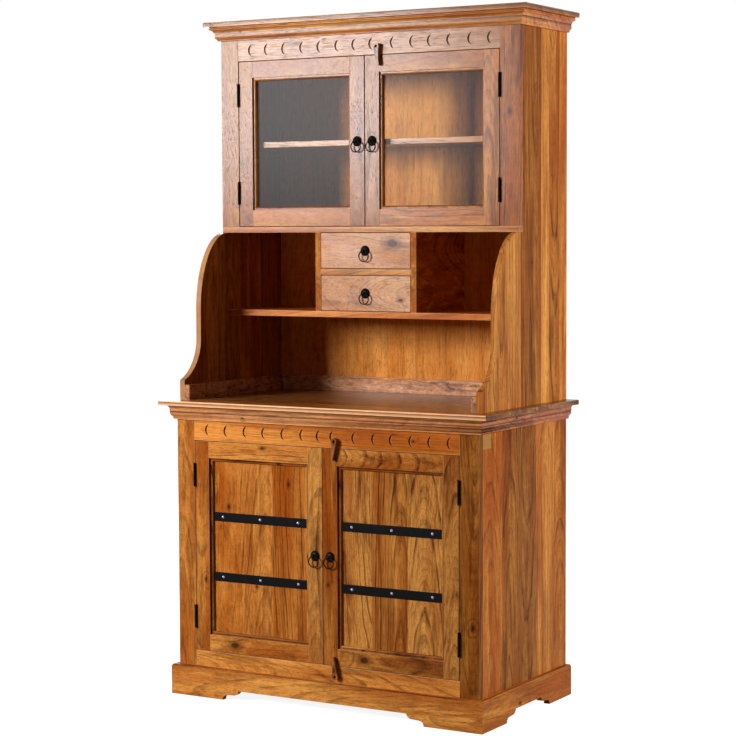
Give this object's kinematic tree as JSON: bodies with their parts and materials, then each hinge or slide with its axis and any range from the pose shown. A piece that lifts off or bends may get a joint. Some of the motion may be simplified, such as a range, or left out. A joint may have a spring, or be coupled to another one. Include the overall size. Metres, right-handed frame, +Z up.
{
  "type": "dresser with hutch",
  "caption": "Wooden dresser: panelled base cupboard on a bracket-foot plinth, and a glazed hutch with small drawers over an open niche, S-curved sides and ring pulls.",
  "frame": {"origin": "centre of the floor footprint, at floor level", "axes": "+Z up; +Y from the doors towards the back; +X to the right as seen by someone facing the doors"},
  "size_m": [1.1, 0.601, 2.025],
  "materials": {
    "wood": "satin lacquer over a honey stain",
    "countertop_wood": "satin lacquer, browner",
    "back_panel": "satin veneer",
    "iron": "satin black iron",
    "glass": "clear"
  },
  "bodies": {
    "root": {"base_side_left": "wood", "base_side_right": "wood", "base_stiles": "wood", "base_frieze_rail": "wood", "base_bottom_rail": "wood", "base_floor": "wood", "base_shelf": "wood", "base_back": "back_panel", "base_rear_rail": "wood", "plinth_front": "wood", "plinth_sides": "wood", "plinth_blocks": "wood", "countertop": "countertop_wood", "counter_moulding": "wood", "hutch_side_left": "wood", "hutch_side_right": "wood", "hutch_stiles": "wood", "hutch_frieze_rail": "wood", "hutch_bottom_rail": "wood", "hutch_floor": "wood", "hutch_shelf": "wood", "hutch_back": "back_panel", "counter_skirting": "wood", "niche_shelf": "wood", "niche_dividers": "wood", "drawer_rail": "wood", "cornice_board": "wood", "cornice_moulding": "wood", "hinge_frame_leaves": "iron", "latch_nails": "iron", "cleats_and_stops": "wood"},
    "upper_door_left_leaf": {"upper_door_left_frame": "wood", "upper_door_left_glass": "glass", "upper_door_left_hardware": "iron"},
    "lower_door_left_leaf": {"lower_door_left_frame": "wood", "lower_door_left_panel": "wood", "lower_door_left_straps": "iron", "lower_door_left_hardware": "iron"},
    "upper_door_right_leaf": {"upper_door_right_frame": "wood", "upper_door_right_glass": "glass", "upper_door_right_hardware": "iron"},
    "lower_door_right_leaf": {"lower_door_right_frame": "wood", "lower_door_right_panel": "wood", "lower_door_right_straps": "iron", "lower_door_right_hardware": "iron"},
    "drawer_upper": {"drawer_upper_front": "wood", "drawer_upper_box": "wood", "drawer_upper_rosette": "iron"},
    "drawer_lower": {"drawer_lower_front": "wood", "drawer_lower_box": "wood", "drawer_lower_rosette": "iron"},
    "ring_upper_door_left_body": {"ring_upper_door_left": "iron"},
    "ring_upper_door_right_body": {"ring_upper_door_right": "iron"},
    "ring_lower_door_left_body": {"ring_lower_door_left": "iron"},
    "ring_lower_door_right_body": {"ring_lower_door_right": "iron"},
    "ring_drawer_upper_body": {"ring_drawer_upper": "iron"},
    "ring_drawer_lower_body": {"ring_drawer_lower": "iron"},
    "latch_upper_body": {"latch_upper": "wood"},
    "latch_lower_top_body": {"latch_lower_top": "wood"},
    "latch_lower_bottom_body": {"latch_lower_bottom": "wood"}
  },
  "joints": [
    {"name": "upper_door_left_hinge", "type": "hinge", "parent": "root", "child": "upper_door_left_leaf", "pos_m": [-0.4457, -0.0152, 1.6535], "axis": [0, 0, -1], "range_deg": [0, 160]},
    {"name": "upper_door_right_hinge", "type": "hinge", "parent": "root", "child": "upper_door_right_leaf", "pos_m": [0.4457, -0.0152, 1.6535], "axis": [0, 0, 1], "range_deg": [0, 160]},
    {"name": "lower_door_left_hinge", "type": "hinge", "parent": "root", "child": "lower_door_left_leaf", "pos_m": [-0.4457, -0.2632, 0.453], "axis": [0, 0, -1], "range_deg": [0, 160]},
    {"name": "lower_door_right_hinge", "type": "hinge", "parent": "root", "child": "lower_door_right_leaf", "pos_m": [0.4457, -0.2632, 0.453], "axis": [0, 0, 1], "range_deg": [0, 160]},
    {"name": "drawer_upper_slide", "type": "slide", "parent": "root", "child": "drawer_upper", "axis": [0, -1, 0], "range_m": [0, 0.2]},
    {"name": "drawer_lower_slide", "type": "slide", "parent": "root", "child": "drawer_lower", "axis": [0, -1, 0], "range_m": [0, 0.2]},
    {"name": "upper_door_left_ring", "type": "hinge", "parent": "upper_door_left_leaf", "child": "ring_upper_door_left_body", "pos_m": [-0.0255, -0.0211, 1.6535], "axis": [-1, 0, 0], "range_deg": [0, 100]},
    {"name": "upper_door_right_ring", "type": "hinge", "parent": "upper_door_right_leaf", "child": "ring_upper_door_right_body", "pos_m": [0.0255, -0.0211, 1.6535], "axis": [-1, 0, 0], "range_deg": [0, 100]},
    {"name": "lower_door_left_ring", "type": "hinge", "parent": "lower_door_left_leaf", "child": "ring_lower_door_left_body", "pos_m": [-0.0255, -0.2691, 0.453], "axis": [-1, 0, 0], "range_deg": [0, 100]},
    {"name": "lower_door_right_ring", "type": "hinge", "parent": "lower_door_right_leaf", "child": "ring_lower_door_right_body", "pos_m": [0.0255, -0.2691, 0.453], "axis": [-1, 0, 0], "range_deg": [0, 100]},
    {"name": "drawer_upper_ring", "type": "hinge", "parent": "drawer_upper", "child": "ring_drawer_upper_body", "pos_m": [0, -0.0211, 1.33075], "axis": [-1, 0, 0], "range_deg": [0, 100]},
    {"name": "drawer_lower_ring", "type": "hinge", "parent": "drawer_lower", "child": "ring_drawer_lower_body", "pos_m": [0, -0.0211, 1.20425], "axis": [-1, 0, 0], "range_deg": [0, 100]},
    {"name": "latch_upper_turn", "type": "hinge", "parent": "root", "child": "latch_upper_body", "pos_m": [0.047, -0.0189, 1.928], "axis": [0, -1, 0], "range_deg": [-100, 100]},
    {"name": "latch_lower_top_turn", "type": "hinge", "parent": "root", "child": "latch_lower_top_body", "pos_m": [0.047, -0.2669, 0.7894], "axis": [0, -1, 0], "range_deg": [-100, 100]},
    {"name": "latch_lower_bottom_turn", "type": "hinge", "parent": "root", "child": "latch_lower_bottom_body", "pos_m": [0.047, -0.2669, 0.109], "axis": [0, -1, 0], "range_deg": [-100, 100]}
  ]
}
